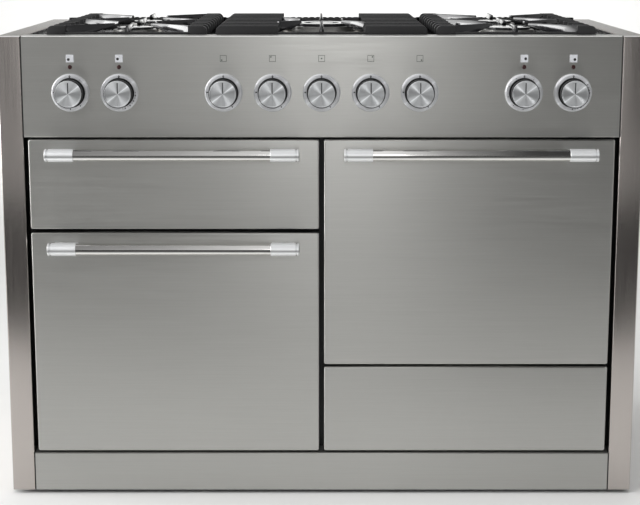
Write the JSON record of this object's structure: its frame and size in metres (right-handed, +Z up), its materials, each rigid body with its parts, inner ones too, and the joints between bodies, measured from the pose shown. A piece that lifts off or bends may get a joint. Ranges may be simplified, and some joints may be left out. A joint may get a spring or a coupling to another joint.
{
  "type": "dual fuel range cooker",
  "caption": "Wide range cooker with gas burners under lift-off cast pan supports, drop-down grill and oven doors, a storage drawer and turning knobs.",
  "frame": {"origin": "on the floor, under the middle of the cooker's bounding box", "axes": "+X to the viewer's right along the front, +Y from the front to the back, +Z up"},
  "size_m": [1.215, 0.648, 0.914],
  "materials": {
    "brushed_steel": "brushed",
    "handle_steel": "satin",
    "black_enamel": "gloss",
    "grey_enamel": "gloss",
    "zinc_steel": "satin",
    "cast_iron": "matt enamel",
    "satin_aluminium": "satin",
    "knob_metal": "spun",
    "rack_chrome": "polished",
    "brass": "machined",
    "spindle_steel": "satin",
    "seal_rubber": "matt",
    "ceramic": "glazed",
    "red_lens": "gloss",
    "black_plastic": "matt",
    "element_steel": "oxidised"
  },
  "bodies": {
    "cabinet": {"side_panels": "brushed_steel", "back_panel": "zinc_steel", "base_tray": "zinc_steel", "front_frame": "black_enamel", "control_panel": "brushed_steel", "plinth": "brushed_steel", "hob_plate": "black_enamel", "flue_grille": "black_enamel", "grill_cavity": "grey_enamel", "oven_cavities": "grey_enamel", "drawer_runners": "zinc_steel", "heating_elements": "element_steel", "fan_baffles": "grey_enamel", "fan_motors": "element_steel", "door_seals": "seal_rubber", "hinge_arms": "zinc_steel", "gas_manifold": "brass", "gas_taps": "brass", "electric_switches": "black_plastic", "burner_bases": "satin_aluminium", "burner_heads": "satin_aluminium", "burner_caps": "black_enamel", "electrodes": "ceramic", "bezels": "knob_metal", "neon_lamps": "red_lens", "front_feet": "black_plastic"},
    "grill_door": {"grill_door_skin": "brushed_steel", "grill_door_liner": "grey_enamel", "grill_handle": "handle_steel"},
    "left_oven_door": {"left_oven_door_skin": "brushed_steel", "left_oven_door_liner": "grey_enamel", "left_oven_handle": "handle_steel"},
    "right_oven_door": {"right_oven_door_skin": "brushed_steel", "right_oven_door_liner": "grey_enamel", "right_oven_handle": "handle_steel"},
    "drawer": {"drawer_front": "brushed_steel", "drawer_box": "zinc_steel"},
    "grill_pan": {"grill_pan": "grey_enamel"},
    "left_oven_rack": {"left_oven_rack": "rack_chrome"},
    "right_oven_rack": {"right_oven_rack": "rack_chrome"},
    "knob_grill": {"knob_grill": "knob_metal"},
    "knob_left_oven": {"knob_left_oven": "knob_metal"},
    "knob_right_oven_mode": {"knob_right_oven_mode": "knob_metal"},
    "knob_right_oven_heat": {"knob_right_oven_heat": "knob_metal"},
    "spindle_front_left": {"spindle_front_left": "spindle_steel"},
    "knob_front_left": {"knob_front_left": "knob_metal"},
    "spindle_rear_left": {"spindle_rear_left": "spindle_steel"},
    "knob_rear_left": {"knob_rear_left": "knob_metal"},
    "spindle_centre": {"spindle_centre": "spindle_steel"},
    "knob_centre": {"knob_centre": "knob_metal"},
    "spindle_rear_right": {"spindle_rear_right": "spindle_steel"},
    "knob_rear_right": {"knob_rear_right": "knob_metal"},
    "spindle_front_right": {"spindle_front_right": "spindle_steel"},
    "knob_front_right": {"knob_front_right": "knob_metal"},
    "left_oven_fan": {"left_oven_fan": "zinc_steel"},
    "right_oven_fan": {"right_oven_fan": "zinc_steel"},
    "rear_rollers": {"rear_rollers": "black_plastic"},
    "pan_support_left": {"pan_support_left": "cast_iron"},
    "pan_support_centre": {"pan_support_centre": "cast_iron"},
    "pan_support_right": {"pan_support_right": "cast_iron"}
  },
  "joints": [
    {"name": "grill_door_hinge", "type": "hinge", "parent": "cabinet", "child": "grill_door", "pos_m": [-0.28, -0.269, 0.5366], "axis": [1, 0, 0], "range_deg": [0, 90]},
    {"name": "left_oven_door_hinge", "type": "hinge", "parent": "cabinet", "child": "left_oven_door", "pos_m": [-0.28, -0.269, 0.094], "axis": [1, 0, 0], "range_deg": [0, 90]},
    {"name": "right_oven_door_hinge", "type": "hinge", "parent": "cabinet", "child": "right_oven_door", "pos_m": [0.28, -0.269, 0.2692], "axis": [1, 0, 0], "range_deg": [0, 90]},
    {"name": "drawer_slide", "type": "slide", "parent": "cabinet", "child": "drawer", "axis": [0, -1, 0], "range_m": [0, 0.36]},
    {"name": "grill_pan_slide", "type": "slide", "parent": "cabinet", "child": "grill_pan", "axis": [0, -1, 0], "range_m": [0, 0.0869]},
    {"name": "left_oven_rack_slide", "type": "slide", "parent": "cabinet", "child": "left_oven_rack", "axis": [0, -1, 0], "range_m": [0, 0.299]},
    {"name": "right_oven_rack_slide", "type": "slide", "parent": "cabinet", "child": "right_oven_rack", "axis": [0, -1, 0], "range_m": [0, 0.299]},
    {"name": "knob_grill_turn", "type": "hinge", "parent": "cabinet", "child": "knob_grill", "pos_m": [-0.4715, -0.276, 0.792], "axis": [0, -1, 0], "range_deg": [-270, 0]},
    {"name": "knob_left_oven_turn", "type": "hinge", "parent": "cabinet", "child": "knob_left_oven", "pos_m": [-0.3795, -0.276, 0.792], "axis": [0, -1, 0], "range_deg": [-270, 0]},
    {"name": "knob_right_oven_mode_turn", "type": "hinge", "parent": "cabinet", "child": "knob_right_oven_mode", "pos_m": [0.3795, -0.276, 0.792], "axis": [0, -1, 0], "continuous": true},
    {"name": "knob_right_oven_heat_turn", "type": "hinge", "parent": "cabinet", "child": "knob_right_oven_heat", "pos_m": [0.4715, -0.276, 0.792], "axis": [0, -1, 0], "range_deg": [-270, 0]},
    {"name": "spindle_front_left_turn", "type": "hinge", "parent": "cabinet", "child": "spindle_front_left", "pos_m": [-0.184, -0.276, 0.792], "axis": [0, -1, 0], "range_deg": [0, 210]},
    {"name": "knob_front_left_press", "type": "slide", "parent": "spindle_front_left", "child": "knob_front_left", "axis": [0, 1, 0], "range_m": [0, 0.004], "stiffness_N_per_m": 500, "springref_m": -0.004},
    {"name": "spindle_rear_left_turn", "type": "hinge", "parent": "cabinet", "child": "spindle_rear_left", "pos_m": [-0.092, -0.276, 0.792], "axis": [0, -1, 0], "range_deg": [0, 210]},
    {"name": "knob_rear_left_press", "type": "slide", "parent": "spindle_rear_left", "child": "knob_rear_left", "axis": [0, 1, 0], "range_m": [0, 0.004], "stiffness_N_per_m": 500, "springref_m": -0.004},
    {"name": "spindle_centre_turn", "type": "hinge", "parent": "cabinet", "child": "spindle_centre", "pos_m": [0, -0.276, 0.792], "axis": [0, -1, 0], "range_deg": [0, 210]},
    {"name": "knob_centre_press", "type": "slide", "parent": "spindle_centre", "child": "knob_centre", "axis": [0, 1, 0], "range_m": [0, 0.004], "stiffness_N_per_m": 500, "springref_m": -0.004},
    {"name": "spindle_rear_right_turn", "type": "hinge", "parent": "cabinet", "child": "spindle_rear_right", "pos_m": [0.092, -0.276, 0.792], "axis": [0, -1, 0], "range_deg": [0, 210]},
    {"name": "knob_rear_right_press", "type": "slide", "parent": "spindle_rear_right", "child": "knob_rear_right", "axis": [0, 1, 0], "range_m": [0, 0.004], "stiffness_N_per_m": 500, "springref_m": -0.004},
    {"name": "spindle_front_right_turn", "type": "hinge", "parent": "cabinet", "child": "spindle_front_right", "pos_m": [0.184, -0.276, 0.792], "axis": [0, -1, 0], "range_deg": [0, 210]},
    {"name": "knob_front_right_press", "type": "slide", "parent": "spindle_front_right", "child": "knob_front_right", "axis": [0, 1, 0], "range_m": [0, 0.004], "stiffness_N_per_m": 500, "springref_m": -0.004},
    {"name": "left_oven_fan_spin", "type": "hinge", "parent": "cabinet", "child": "left_oven_fan", "pos_m": [-0.28, 0.19, 0.3058], "axis": [0, 1, 0], "continuous": true},
    {"name": "right_oven_fan_spin", "type": "hinge", "parent": "cabinet", "child": "right_oven_fan", "pos_m": [0.28, 0.19, 0.4831], "axis": [0, 1, 0], "continuous": true},
    {"name": "rear_rollers_turn", "type": "hinge", "parent": "cabinet", "child": "rear_rollers", "pos_m": [0, 0.226, 0.024], "axis": [1, 0, 0], "continuous": true},
    {"name": "pan_support_left_lift", "type": "slide", "parent": "cabinet", "child": "pan_support_left", "axis": [0, 0, 1], "range_m": [0, 0.06]},
    {"name": "pan_support_centre_lift", "type": "slide", "parent": "cabinet", "child": "pan_support_centre", "axis": [0, 0, 1], "range_m": [0, 0.06]},
    {"name": "pan_support_right_lift", "type": "slide", "parent": "cabinet", "child": "pan_support_right", "axis": [0, 0, 1], "range_m": [0, 0.06]}
  ],
  "couplings": [
    {"joint": "grill_pan_slide", "follows": "grill_door_hinge", "m_per_rad": 0.055},
    {"joint": "left_oven_rack_slide", "follows": "left_oven_door_hinge", "m_per_rad": 0.19},
    {"joint": "right_oven_rack_slide", "follows": "right_oven_door_hinge", "m_per_rad": 0.19}
  ]
}
